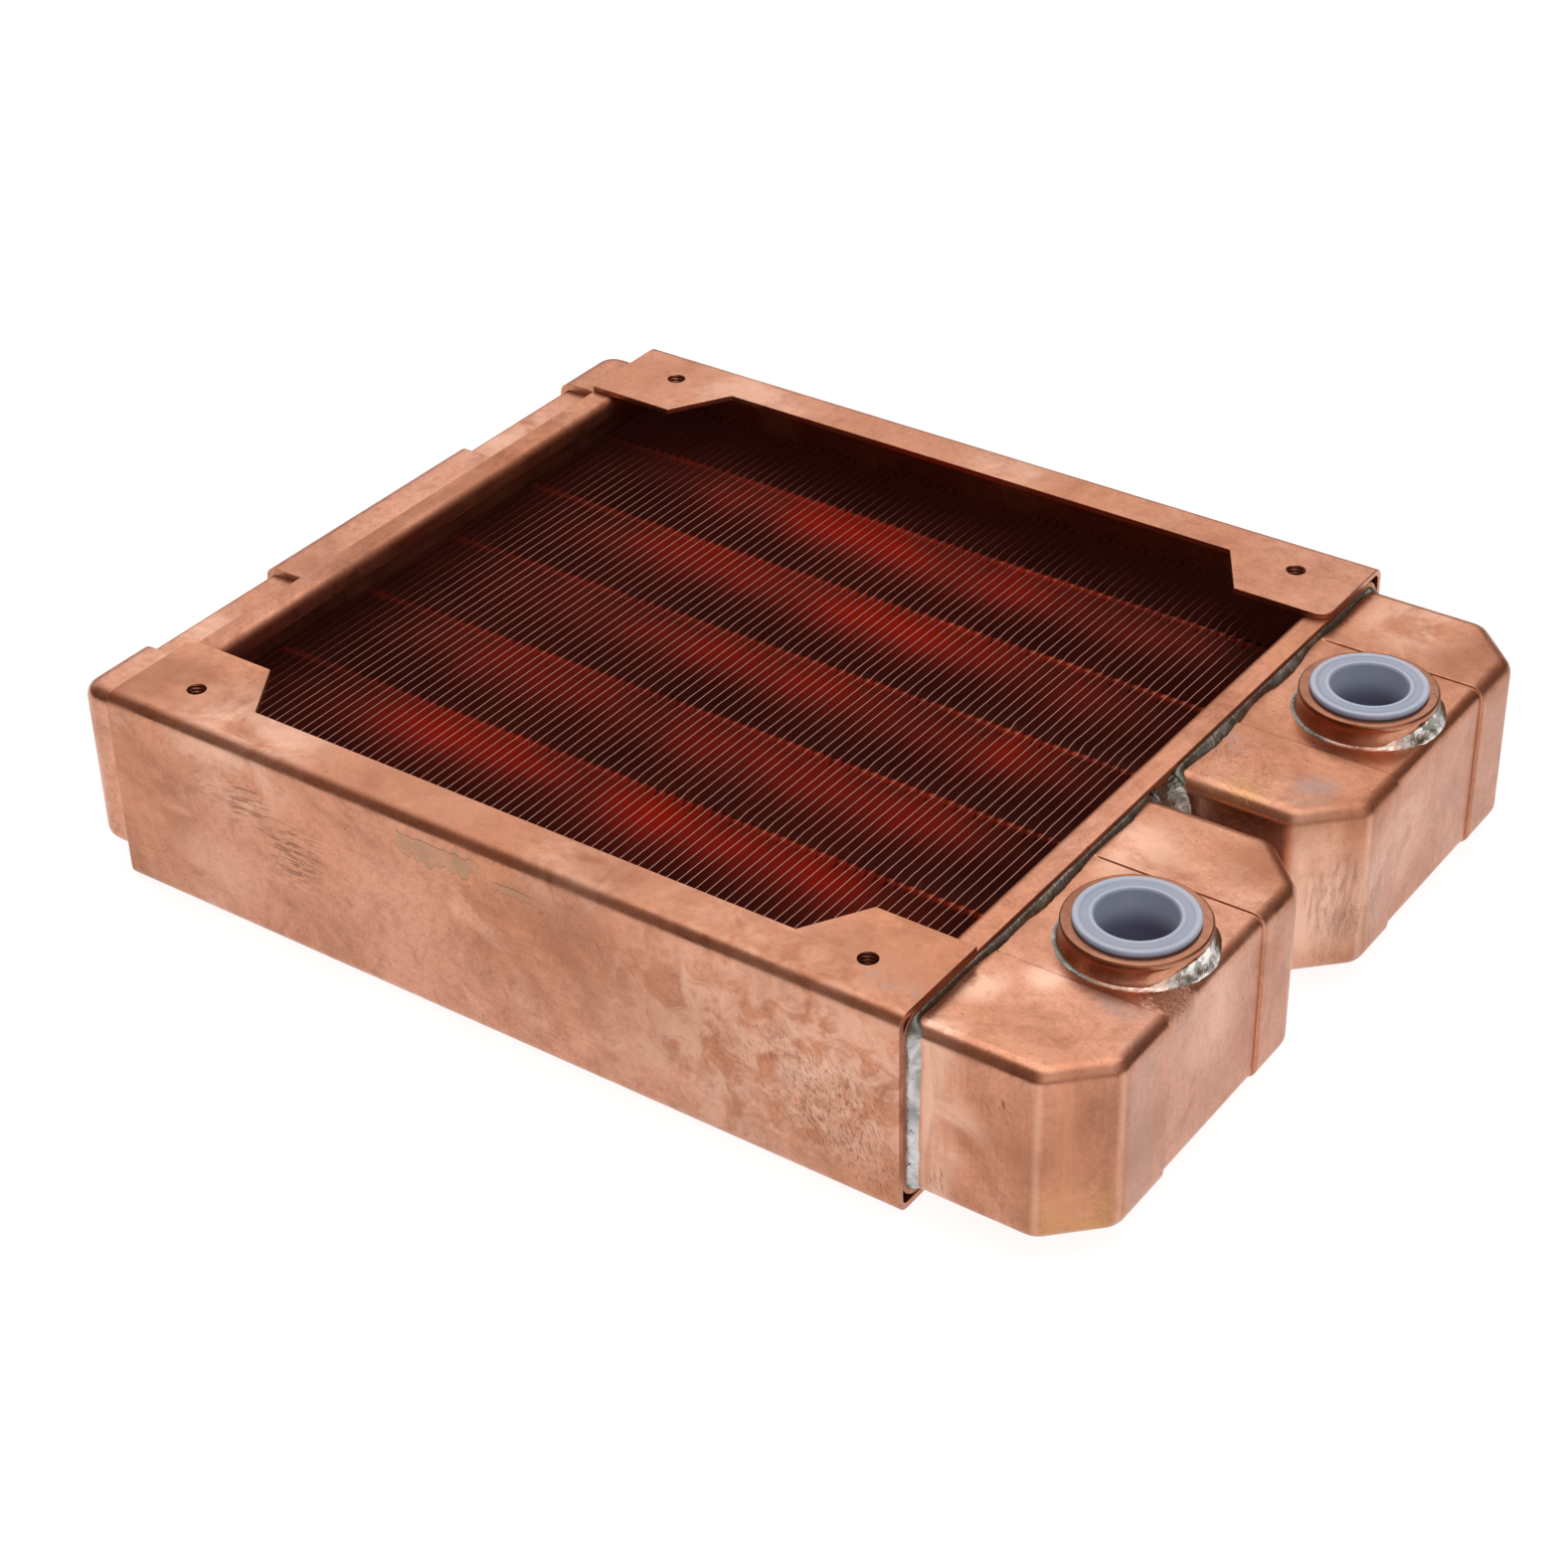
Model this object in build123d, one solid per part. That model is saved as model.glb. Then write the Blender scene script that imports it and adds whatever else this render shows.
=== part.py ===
"""Liquid heat exchanger: a 120 mm all-copper radiator with a plate-fin core.

Millimetres. X runs along the flat tubes, Y across them and Z upwards. The origin lies midway
between the four lower fan screw holes, on the lower face of the side channels. The return tank
is at -X, the two port tanks are at +X, and the ports open upwards.
"""
import os

from build123d import *

# Fan interface and side channels
screw_square = 105.0
frame_height = 29.1
end_beyond_screws = 9.2
channel_sheet = 0.9
channel_bend = 1.9
web_beyond_screws = 7.55
flange_reach = 7.6
ear_reach = 16.4
ear_length = 14.0
ear_slant_run = 5.4
ear_round = 2.2
screw_hole_d = 2.6

# Headers
header_sheet = 0.8
header_depth = 3.9
header_inset = 0.1
header_corner = 3.6
header_bend = 1.1
plate_setback = 0.2
fit_gap = 0.05

# Tanks
tank_sheet = 0.8
tank_rim_gap = 0.5
tank_seat_gap = 0.2
tank_edge_round = 1.7
least_edge = 0.4
return_tank_depth = 8.1
return_plan_flat = 1.3
port_tank_depth = 24.1
port_plan_chamfer = 7.2
port_plan_flat = 0.9
lobe_gap = 4.8
return_band_depth = 1.0
port_band_depth = 0.25
band_start = 0.4
return_band_width = 24.6
return_band_spacing = 66.4
port_band_width = 24.0
port_band_end_depth = 0.4

# Ports
port_spacing = 59.5
port_from_header = 13.2
boss_d = 18.1
boss_height = 3.2
boss_chamfer = 0.35
bore_d = 11.8

# Transit plugs
plug_flange_d = 15.3
plug_flange_thickness = 0.7
plug_edge = 0.3
plug_body_d = 11.5
plug_body_length = 8.6
plug_hollow_d = 10.0
plug_floor = 0.9

# Core
fin_pitch = 1.471
fin_step = 2
fin_plate_gap = 0.6
fin_sheet = 0.2
fin_height = 12.7
fin_side_gap = 0.2
tube_count = 6
tube_pitch = 18.4
tube_thickness = 2.0
tube_height = 11.1
tube_wall = 0.35
tube_edge_flat = 0.6
tube_overhang = 1.0

# Solder
seam_height = 0.8
seam_rim_step = 0.25
seam_root = 1.2
ring_width = 0.8
ring_height = 1.5
gap_fill_reach = 3.2
gap_fill_hollow_d = 3.2

# The leg of a flat that touches a quarter round at its middle, for each unit of radius
flat_per_radius = 2 - 2 ** 0.5

# Sizes that follow
half_width = screw_square / 2 + web_beyond_screws
half_length = screw_square / 2 + end_beyond_screws
mid_z = frame_height / 2
web_inner_y = half_width - channel_sheet
header_outer_x = half_length - header_inset
header_inner_x = header_outer_x - header_depth
header_half_y = web_inner_y
header_half_z = mid_z - channel_sheet
rim_inner_y = header_half_y - header_sheet
rim_inner_z = header_half_z - header_sheet
tank_half_y = rim_inner_y - tank_rim_gap
tank_half_z = rim_inner_z - tank_rim_gap
tank_mouth_x = header_inner_x + header_sheet + tank_seat_gap
plate_outer_x = header_outer_x - plate_setback
plate_inner_x = plate_outer_x - header_sheet
field_inset = tank_rim_gap + tank_sheet + tank_seat_gap
pocket_inset = field_inset + header_sheet
rim_flat = (header_corner - header_sheet) * flat_per_radius
tube_ys = [(i - (tube_count - 1) / 2) * tube_pitch for i in range(tube_count)]
tube_half_length = plate_outer_x + tube_overhang
first_fin_x = fin_plate_gap + fin_sheet / 2 - plate_inner_x
last_fin_x = header_inner_x - fin_side_gap - fin_sheet / 2
fin_count = int((last_fin_x - first_fin_x) / fin_pitch) + 1
fin_xs = [first_fin_x + i * fin_pitch for i in range(0, fin_count, fin_step)]
port_x = header_outer_x + port_from_header
port_y = port_spacing / 2
band_top_z = mid_z + tank_half_z - port_band_depth
boss_top_z = band_top_z + boss_height


def block(x0, x1, y0, y1, z0, z1):
    """A box given by its six faces."""
    size = Box(x1 - x0, y1 - y0, z1 - z0)
    return Pos((x0 + x1) / 2, (y0 + y1) / 2, (z0 + z1) / 2) * size


def slab(x0, x1, y0, y1, half_z, corner=0, soften=fillet):
    """A plate that stands square to X, centred on the middle height, with its corners softened."""
    outline = Rectangle(y1 - y0, 2 * half_z)
    if corner:
        outline = soften(outline.vertices(), corner)
    section = Plane(origin=(x0, (y0 + y1) / 2, mid_z), x_dir=(0, 1, 0), z_dir=(1, 0, 0)) * outline
    return extrude(section, x1 - x0)


def tube_outline(grow):
    """The flat tube's section, grown all round by a clearance or shrunk by a wall."""
    outline = Rectangle(tube_thickness, tube_height)
    outline = chamfer(outline.vertices(), tube_edge_flat)
    if grow:
        outline = offset(outline, grow, kind=Kind.INTERSECTION)
    return Plane.YZ * outline


def write(shape, node):
    """Write one node's solids under the node's name."""
    shape.label = node
    export_step(shape, f"parts/{node}.step")


def at_ports(shape):
    """A pair of like pieces, one at each port, as a group of separate solids."""
    return Compound(children=[Pos(port_x, y, 0) * shape for y in (-port_y, port_y)])


def turned(shape):
    """The same piece turned half round about the vertical middle line."""
    return Rot(0, 0, 180) * shape


# Side channel: one folded sheet with ears for the fan screws

def flange_cut():
    """What is cut from both flanges between the ears, with its slanted ends."""
    knee_x = half_length - ear_length
    root_x = knee_x - ear_slant_run
    root_y = -half_width + flange_reach
    knee_y = -half_width + ear_reach
    beyond_y = knee_y + 1
    corners = [(-root_x, root_y), (root_x, root_y), (knee_x, knee_y), (knee_x, beyond_y),
               (-knee_x, beyond_y), (-knee_x, knee_y)]
    return extrude(make_face(Polyline(*corners, close=True)), frame_height)


def channel_section(inset):
    """The channel's outer form, or with an inset the space inside it."""
    body = block(-half_length, half_length, -half_width + inset, -half_width + ear_reach + inset,
                 inset, frame_height - inset)
    bends = body.edges().filter_by(Axis.X).group_by(Axis.Y)[0]
    return fillet(bends, channel_bend - inset)


def screw_holes():
    """The bores of all four screw holes, each straight through both flanges."""
    bore = Cylinder(screw_hole_d / 2, 2 * frame_height)
    return [Pos(x, -screw_square / 2, mid_z) * bore for x in (-screw_square / 2, screw_square / 2)]


def side_channel():
    """The front channel. Only the ear corners at its -X end are rounded."""
    channel = channel_section(0) - channel_section(channel_sheet) - flange_cut()
    ear_ends = channel.edges().filter_by(Axis.Z).group_by(Axis.Y)[-1]
    channel = fillet(ear_ends.group_by(Axis.X)[0], ear_round)
    for hole in screw_holes():
        channel -= hole
    return channel


# Headers: drawn tube plates whose rim takes the tanks

def lobes(count):
    """The ranges in Y of the tanks that share a header, without the rim gap."""
    if count == 1:
        return [(-tank_half_y, tank_half_y)]
    return [(-tank_half_y, -lobe_gap / 2), (lobe_gap / 2, tank_half_y)]


def header(count):
    """The header at +X for one tank or two: outer rim, tank groove, tube plate and tube slots."""
    body = slab(header_inner_x, header_outer_x, -header_half_y, header_half_y, header_half_z, header_corner)
    body = chamfer(body.faces().sort_by(Axis.X)[0].edges(), header_bend)
    for low, high in lobes(count):
        ring = slab(header_inner_x + header_sheet, header_outer_x, low - tank_rim_gap,
                    high + tank_rim_gap, rim_inner_z, rim_flat, chamfer)
        field_low = low - tank_rim_gap + field_inset
        field_high = high + tank_rim_gap - field_inset
        field_z = rim_inner_z - field_inset
        field = slab(header_inner_x, plate_outer_x, field_low, field_high, field_z, tank_edge_round, chamfer)
        pocket = slab(header_inner_x, plate_inner_x, field_low + header_sheet, field_high - header_sheet,
                      field_z - header_sheet)
        body = body - (ring - field) - pocket
    for y in tube_ys:
        body -= Pos(plate_inner_x, y, mid_z) * extrude(tube_outline(fit_gap), 2 * header_sheet)
    return body


# Tanks: drawn caps with recessed bands

def cap_form(low, high, depth, flat, chamfered, inset, end_inset, soften):
    """The form of a cap from its mouth to its end, shrunk by an inset on every side."""
    end_x = header_outer_x + depth - end_inset
    body = block(tank_mouth_x, end_x, low + inset, high - inset, mid_z - tank_half_z + inset,
                 mid_z + tank_half_z - inset)
    uprights = body.edges().filter_by(Axis.Z).group_by(Axis.X)[-1]
    if chamfered:
        body = chamfer(uprights, chamfered)
        uprights = body.edges().filter_by(Axis.Z).sort_by(Axis.X)[2:]
    body = chamfer(uprights, max(flat - inset * flat_per_radius, least_edge))
    mouth = body.faces().sort_by(Axis.X)[0]
    rim = body.faces().filter_by(Axis.Z).edges() - mouth.edges()
    return soften(rim, max(tank_edge_round - inset, least_edge))


def banded_form(low, high, depth, flat, chamfered, bands, band_depth, band_end_depth, inset):
    """A cap's form with its bands sunk: rounded outside, or with plain flats at an inset inside."""
    soften = chamfer if inset else fillet
    shape = cap_form(low, high, depth, flat, chamfered, inset, inset, soften)
    sunk = cap_form(low, high, depth, flat, chamfered, inset + band_depth, inset + band_end_depth, soften)
    for middle, width in bands:
        half = width / 2 + inset
        start = header_outer_x + band_start + inset
        zone = block(start, header_outer_x + depth + 1, middle - half, middle + half,
                     -1, frame_height + 1)
        shape = (shape - zone) + (sunk & zone)
    return shape


def return_form(inset):
    """The shallow tank's form, made at +X."""
    bands = [(-return_band_spacing / 2, return_band_width), (return_band_spacing / 2, return_band_width)]
    (low, high), = lobes(1)
    return banded_form(low, high, return_tank_depth, return_plan_flat, 0, bands,
                       return_band_depth, return_band_depth, inset)


def port_form(low, high, middle, inset):
    """The form of one of the two deep tanks at +X."""
    return banded_form(low, high, port_tank_depth, port_plan_flat, port_plan_chamfer,
                       [(middle, port_band_width)], port_band_depth, port_band_end_depth, inset)


def port_hole(middle):
    """The hole in a port tank's band below its boss, as wide as the bore."""
    return Pos(port_x, middle, band_top_z) * Cylinder(bore_d / 2, 4 * tank_sheet)


# Ports: turned bosses with their plugs

def boss():
    """A turned ring that stands on its band, over the hole in the tank."""
    outer = boss_d / 2
    bore = bore_d / 2
    profile = Polyline(
        (bore, 0), (outer, 0), (outer, boss_height - boss_chamfer),
        (outer - boss_chamfer, boss_height), (bore, boss_height), close=True)
    return Pos(0, 0, band_top_z) * revolve(Plane.XZ * make_face(profile), Axis.Z)


def plug():
    """A thin moulded cup that is pushed into the thread, with its flange on the boss."""
    flange = plug_flange_d / 2
    body = plug_body_d / 2
    hollow = plug_hollow_d / 2
    bottom = -plug_body_length
    top = plug_flange_thickness
    profile = Polyline(
        (0, bottom), (body, bottom), (body, 0), (flange, 0), (flange, top - plug_edge),
        (flange - plug_edge, top), (hollow, top), (hollow, bottom + plug_floor),
        (0, bottom + plug_floor), close=True)
    return Pos(0, 0, boss_top_z) * revolve(Plane.XZ * make_face(profile), Axis.Z)


# Core: flat tubes through thin plates

def tube(y):
    """One flat tube, open at both ends, from tank to tank."""
    wall = tube_outline(0) - tube_outline(-tube_wall)
    return Pos(-tube_half_length, y, mid_z) * extrude(wall, 2 * tube_half_length)


def fin(x):
    """One thin plate with its tube slots, shorter where it stands inside the return header."""
    inside_header = -x + fin_sheet / 2 + fin_side_gap > header_inner_x
    reach = rim_inner_y - pocket_inset if inside_header else web_inner_y
    half = reach - fin_side_gap
    plate = Rectangle(2 * half, fin_height)
    for y in tube_ys:
        plate -= Pos(y, 0) * Rectangle(tube_thickness + 2 * fit_gap, tube_height + 2 * fit_gap)
    section = Plane(origin=(x - fin_sheet / 2, 0, mid_z), x_dir=(0, 1, 0), z_dir=(1, 0, 0)) * plate
    return extrude(section, fin_sheet)


# Solder: seams, rings and the fill between the port tanks

def seam(low, high, form):
    """The solder that fills the rim gap round a tank's mouth and slopes onto the tank."""
    root = slab(header_outer_x - seam_root, header_outer_x, low - tank_rim_gap, high + tank_rim_gap,
                rim_inner_z, rim_flat, chamfer)
    spread = tank_rim_gap + seam_rim_step
    bead = slab(header_outer_x, header_outer_x + seam_height, low - spread, high + spread,
                tank_half_z + spread, rim_flat, chamfer)
    bead = chamfer(bead.faces().sort_by(Axis.X)[-1].edges(), seam_height - seam_rim_step / 2)
    return root + bead - form


def boss_ring():
    """The fillet of solder round the foot of a boss."""
    foot = boss_d / 2
    profile = Polyline((foot, 0), (foot + ring_width, 0), (foot, ring_height), close=True)
    return Pos(0, 0, band_top_z) * revolve(Plane.XZ * make_face(profile), Axis.Z)


def gap_fill(seams):
    """The lump of solder in the notch between the two port tanks, hollowed on its outer side."""
    half = lobe_gap / 2
    lump = block(header_outer_x, header_outer_x + gap_fill_reach, -half, half,
                 mid_z - tank_half_z, mid_z + tank_half_z)
    lump -= Pos(header_outer_x + gap_fill_reach, 0, mid_z) * Cylinder(gap_fill_hollow_d / 2, frame_height)
    for piece in seams:
        lump -= piece
    return lump


def main():
    """Build every node and write it."""
    os.makedirs("parts", exist_ok=True)
    channel = side_channel()
    write(channel, "side_channel_front")
    write(turned(channel), "side_channel_rear")
    write(turned(header(1)), "return_header")
    write(header(2), "port_header")

    form = return_form(0)
    write(turned(form - return_form(tank_sheet)), "return_tank")
    (low, high), = lobes(1)
    write(turned(seam(low, high, form)), "return_seam_solder")

    seams = []
    for place, (low, high) in zip(("front", "rear"), lobes(2)):
        middle = port_y if low > 0 else -port_y
        form = port_form(low, high, middle, 0)
        cap = form - port_form(low, high, middle, tank_sheet) - port_hole(middle)
        write(cap, f"{place}_port_tank")
        seams.append(seam(low, high, form))
        write(seams[-1], f"{place}_seam_solder")
    write(gap_fill(seams), "tank_gap_solder")
    write(at_ports(boss()), "port_bosses")
    write(at_ports(plug()), "port_plugs")
    write(at_ports(boss_ring()), "boss_solder")

    for number, y in enumerate(tube_ys, start=1):
        write(tube(y), f"flat_tube_{number}")
    write(Compound(children=[fin(x) for x in fin_xs]), "fin_stack")


main()
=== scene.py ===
import math

import bpy
import bmesh
import numpy as np
from mathutils import Matrix, Vector


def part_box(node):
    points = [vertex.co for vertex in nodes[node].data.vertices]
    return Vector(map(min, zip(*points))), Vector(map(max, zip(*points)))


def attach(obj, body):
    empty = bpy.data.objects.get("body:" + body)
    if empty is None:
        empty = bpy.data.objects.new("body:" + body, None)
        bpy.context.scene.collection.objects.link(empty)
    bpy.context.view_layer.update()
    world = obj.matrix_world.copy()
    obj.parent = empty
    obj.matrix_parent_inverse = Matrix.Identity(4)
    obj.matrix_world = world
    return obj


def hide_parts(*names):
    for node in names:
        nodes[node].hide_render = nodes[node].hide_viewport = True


print("loading the frame")
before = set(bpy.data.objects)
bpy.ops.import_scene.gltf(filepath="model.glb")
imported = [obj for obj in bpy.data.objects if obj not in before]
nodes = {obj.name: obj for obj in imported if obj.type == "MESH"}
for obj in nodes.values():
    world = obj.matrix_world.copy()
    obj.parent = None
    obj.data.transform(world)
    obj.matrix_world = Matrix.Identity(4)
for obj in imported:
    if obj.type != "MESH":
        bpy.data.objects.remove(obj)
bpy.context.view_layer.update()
mm = 0.001
scene = bpy.context.scene


# making meshes

def gridFaces(rows, columns, loopRows=False, loopColumns=False):
    # quads between neighbouring grid points, counted row by row
    i = np.arange(rows if loopRows else rows - 1)[:, None]
    j = np.arange(columns if loopColumns else columns - 1)[None, :]
    iNext, jNext = (i + 1) % rows, (j + 1) % columns
    corners = [i * columns + j, iNext * columns + j, iNext * columns + jNext, i * columns + jNext]
    return np.stack(np.broadcast_arrays(*corners), -1).reshape(-1, 4)


def addPiece(name, points, faces, replaced=(), material=None, slot=None, sharpDegrees=35, weld=0.002):
    # points in mm; doubles are merged, faces turned outwards, edges sharper than the angle kept crisp
    mesh = bpy.data.meshes.new(name)
    mesh.from_pydata((np.asarray(points).reshape(-1, 3) * mm).tolist(), [], [list(f) for f in faces])
    work = bmesh.new()
    work.from_mesh(mesh)
    bmesh.ops.remove_doubles(work, verts=work.verts, dist=weld * mm)
    bmesh.ops.dissolve_degenerate(work, edges=work.edges, dist=weld * mm * 0.5)
    loose = [v for v in work.verts if not v.link_faces]
    bmesh.ops.delete(work, geom=loose, context="VERTS")
    bmesh.ops.recalc_face_normals(work, faces=work.faces)
    work.to_mesh(mesh)
    work.free()
    mesh.shade_smooth()
    mesh.set_sharp_from_angle(angle=math.radians(sharpDegrees))
    piece = bpy.data.objects.new(name, mesh)
    scene.collection.objects.link(piece)
    if material:
        mesh.materials.append(material)
    finishPiece(piece, replaced)
    return piece


def finishPiece(piece, replaced):
    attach(piece, "root")
    if replaced:
        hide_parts(*replaced)


def flatterNormals(piece, sharpDegrees):
    # big flat faces keep their own normal, small rounds bend towards it
    piece.data.shade_smooth()
    piece.data.set_sharp_from_angle(angle=math.radians(sharpDegrees))
    weighted = piece.modifiers.new("normals", "WEIGHTED_NORMAL")
    weighted.weight = 80
    weighted.keep_sharp = True
    bakeModifiers(piece)


def bakeModifiers(piece):
    # the mesh as its modifiers leave it, with none left on the piece
    bpy.context.view_layer.update()
    graph = bpy.context.evaluated_depsgraph_get()
    baked = bpy.data.meshes.new_from_object(piece.evaluated_get(graph))
    piece.modifiers.clear()
    piece.data = baked
    return piece


def lathe(profile, centre, segments=96, closed=True):
    # a profile of (radius, height) carried round an upright axis through the centre
    profile = np.asarray(profile, float)
    turn = np.linspace(0, 2 * np.pi, segments, endpoint=False)[:, None]
    radius, height = profile[None, :, 0], profile[None, :, 1]
    points = np.stack(np.broadcast_arrays(centre[0] + radius * np.cos(turn), centre[1] + radius * np.sin(turn),
                                          centre[2] + height), -1)
    return points.reshape(-1, 3), gridFaces(segments, len(profile), True, closed)


def joinParts(parts):
    # several (points, faces) as one
    points, faces, start = [], [], 0
    for p, f in parts:
        points.append(np.asarray(p).reshape(-1, 3))
        faces += [[c + start for c in face] for face in f]
        start += len(points[-1])
    return np.concatenate(points), faces


def cornerRound(before, here, after, radius, steps=None):
    # an arc between two straight sides: its centre, the sides' outward normals, and the normals along it
    into, out = (here - before) / np.linalg.norm(here - before), (after - here) / np.linalg.norm(after - here)
    nIn, nOut = np.array([into[1], -into[0]]), np.array([out[1], -out[0]])
    turn = math.acos(np.clip(nIn @ nOut, -1, 1))
    centre = here - (nIn + nOut) / (1 + nIn @ nOut) * radius
    part = np.linspace(0, 1, steps or max(3, int(turn / 0.16) + 1))[:, None]
    return centre, nIn, nOut, (np.sin((1 - part) * turn) * nIn + np.sin(part * turn) * nOut) / math.sin(turn)


def roundedPath(corners, radius, stations):
    # a closed path of straight sides joined by arcs: an arc centre and an outward normal for each station
    corners = np.asarray(corners, float)
    count = len(corners)
    rounds = [cornerRound(corners[k - 1], corners[k], corners[(k + 1) % count], radius) for k in range(count)]
    between = np.linspace(0, 1, stations + 2)[1:-1, None]
    bases, normals = [], []
    for k, (centre, nIn, nOut, arcNormals) in enumerate(rounds):
        nextCentre = rounds[(k + 1) % count][0]
        bases += [np.repeat(centre[None], len(arcNormals), 0), centre + (nextCentre - centre) * between]
        normals += [arcNormals, np.repeat(nOut[None], stations, 0)]
    return np.concatenate(bases), np.concatenate(normals)


def wander(count, seed, waves=9, roughness=0.75):
    # a closed curve of random waves with a mean of 0, about 1 high
    rng = np.random.default_rng(seed)
    turn = np.linspace(0, 2 * np.pi, count, endpoint=False)
    out = np.zeros(count)
    for k in range(1, waves * 6, 2):
        out += rng.normal() * np.sin(k * turn + rng.uniform(0, 6.3)) / (1 + k / waves) ** (1 / roughness)
    return out / max(np.abs(out).max(), 1e-6)


# finishes

class Nodes:
    # the nodes of a material or of the sky, added one line at a time; an input takes a node's output or a value
    def __init__(self, tree, kind):
        self.tree = tree
        self.place = self.add("ShaderNodeTexCoord", {}).outputs[kind]

    def add(self, kind, inputs, **values):
        node = self.tree.nodes.new(kind)
        for key, value in values.items():
            setattr(node, key, value)
        self.fill(node, inputs)
        return node

    def fill(self, node, inputs):
        for key, source in inputs.items():
            if isinstance(source, bpy.types.NodeSocket):
                self.tree.links.new(source, node.inputs[key])
            else:
                node.inputs[key].default_value = source

    def stretched(self, scale, turn=(0, 0, 0), shift=(0, 0, 0)):
        # turned first and stretched after that, which is what the texture kind of mapping does
        inputs = {"Vector": self.place, "Location": shift, "Rotation": turn, "Scale": [1 / value for value in scale]}
        return self.add("ShaderNodeMapping", inputs, vector_type="TEXTURE").outputs["Vector"]

    def noise(self, scale, detail=4, distortion=0.0, vector=None, rough=0.55):
        inputs = {"Vector": vector or self.place, "Scale": scale, "Detail": detail, "Roughness": rough,
                  "Distortion": distortion}
        return self.add("ShaderNodeTexNoise", inputs).outputs["Fac"]

    def ramp(self, value, low, high, outLow=0.0, outHigh=1.0):
        inputs = {"Value": value, "From Min": low, "From Max": high, "To Min": outLow, "To Max": outHigh}
        return self.add("ShaderNodeMapRange", inputs, interpolation_type="SMOOTHSTEP").outputs["Result"]

    def calc(self, operation, a, b=0.0):
        return self.add("ShaderNodeMath", {0: a, 1: b}, operation=operation).outputs[0]

    def product(self, first, *others):
        for other in others:
            first = self.calc("MULTIPLY", first, other)
        return first

    def blend(self, share, first, second):
        first, second = [c if isinstance(c, bpy.types.NodeSocket) else (*c, 1) for c in (first, second)]
        inputs = {"Factor": share, "A": first, "B": second}
        return self.add("ShaderNodeMix", inputs, data_type="RGBA").outputs["Result"]

    def vector(self, operation, first, second):
        return self.add("ShaderNodeVectorMath", {0: first, 1: second}, operation=operation).outputs

    def spot(self, centre, radius, soft=0.5):
        # 1 inside a ball around a place in mm, falling to 0 at its edge
        away = self.vector("DISTANCE", self.place, [c * mm for c in centre])["Value"]
        return self.ramp(away, radius * mm * (1 - soft), radius * mm, 1.0, 0.0)

    def column(self, x, y, radius):
        # 1 on an upright line through a place in mm, falling to 0 at the radius
        flat = self.vector("MULTIPLY", self.place, (1, 1, 0))["Vector"]
        return self.ramp(self.vector("DISTANCE", flat, (x * mm, y * mm, 0))["Value"], 0, radius * mm, 1.0, 0.0)

    def axis(self, name, source=None):
        return self.add("ShaderNodeSeparateXYZ", {0: source or self.place}).outputs[name]

    def bump(self, height, strength, distance=0.0002, normal=None):
        inputs = {"Height": height, "Strength": strength, "Distance": distance}
        if normal:
            inputs["Normal"] = normal
        return self.add("ShaderNodeBump", inputs).outputs["Normal"]


class Finish(Nodes):
    # a material whose glow isn't sampled as a lamp, which saves much time
    def __init__(self, name):
        self.material = bpy.data.materials.new(name)
        self.material.use_nodes = True
        self.material.cycles.emission_sampling = "NONE"
        super().__init__(self.material.node_tree, "Object")

    def shade(self, inputs):
        self.fill(self.tree.nodes["Principled BSDF"], inputs)
        return self.material


# the pale and the dark tones also serve as painted highlights and painted shade in the spots, lifts and columns below
copperColours = {"pink": (0.67, 0.325, 0.215), "orange": (0.61, 0.262, 0.150), "pale": (0.82, 0.51, 0.38),
                 "smudgeAndShade": (0.36, 0.145, 0.078), "brown": (0.17, 0.062, 0.030), "stain": (0.38, 0.235, 0.145),
                 "grey": (0.34, 0.25, 0.23), "gold": (0.56, 0.31, 0.10)}

# layers of the copper: noise scale, detail, distortion and roughness, where the layer starts and is full, its share
copperLayers = {
    "drift": (24, 3, 0.6, 0.55, 0.34, 0.66, 1.0),
    "veil": (40, 5, 1.2, 0.70, 0.42, 0.70, 0.55),
    "rubbed": (55, 5, 0.6, 0.68, 0.53, 0.78, 0.48),
    "mottle": (310, 4, 0.6, 0.66, 0.47, 0.74, 0.50),
    "speckle": (1000, 2, 0.3, 0.65, 0.48, 0.72, 0.30),
    "pits": (1250, 2, 0.4, 0.55, 0.70, 0.745, 0.60),
}

# shares and strengths of what lies over the layers
copperMarks = {"grain": 0.16, "hair": 0.30, "dripRim": 0.40, "dripCrease": 0.55, "fringe": 0.007, "strokeAcross": 2900,
               "strokeFade": 0.09, "dentShare": 0.5, "veilRough": 0.22, "grainBump": 0.12, "lineBump": 0.16,
               "waveBump": 0.30, "hairBump": 0.30, "strokeBump": 0.30, "hammerBump": 0.90}



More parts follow.
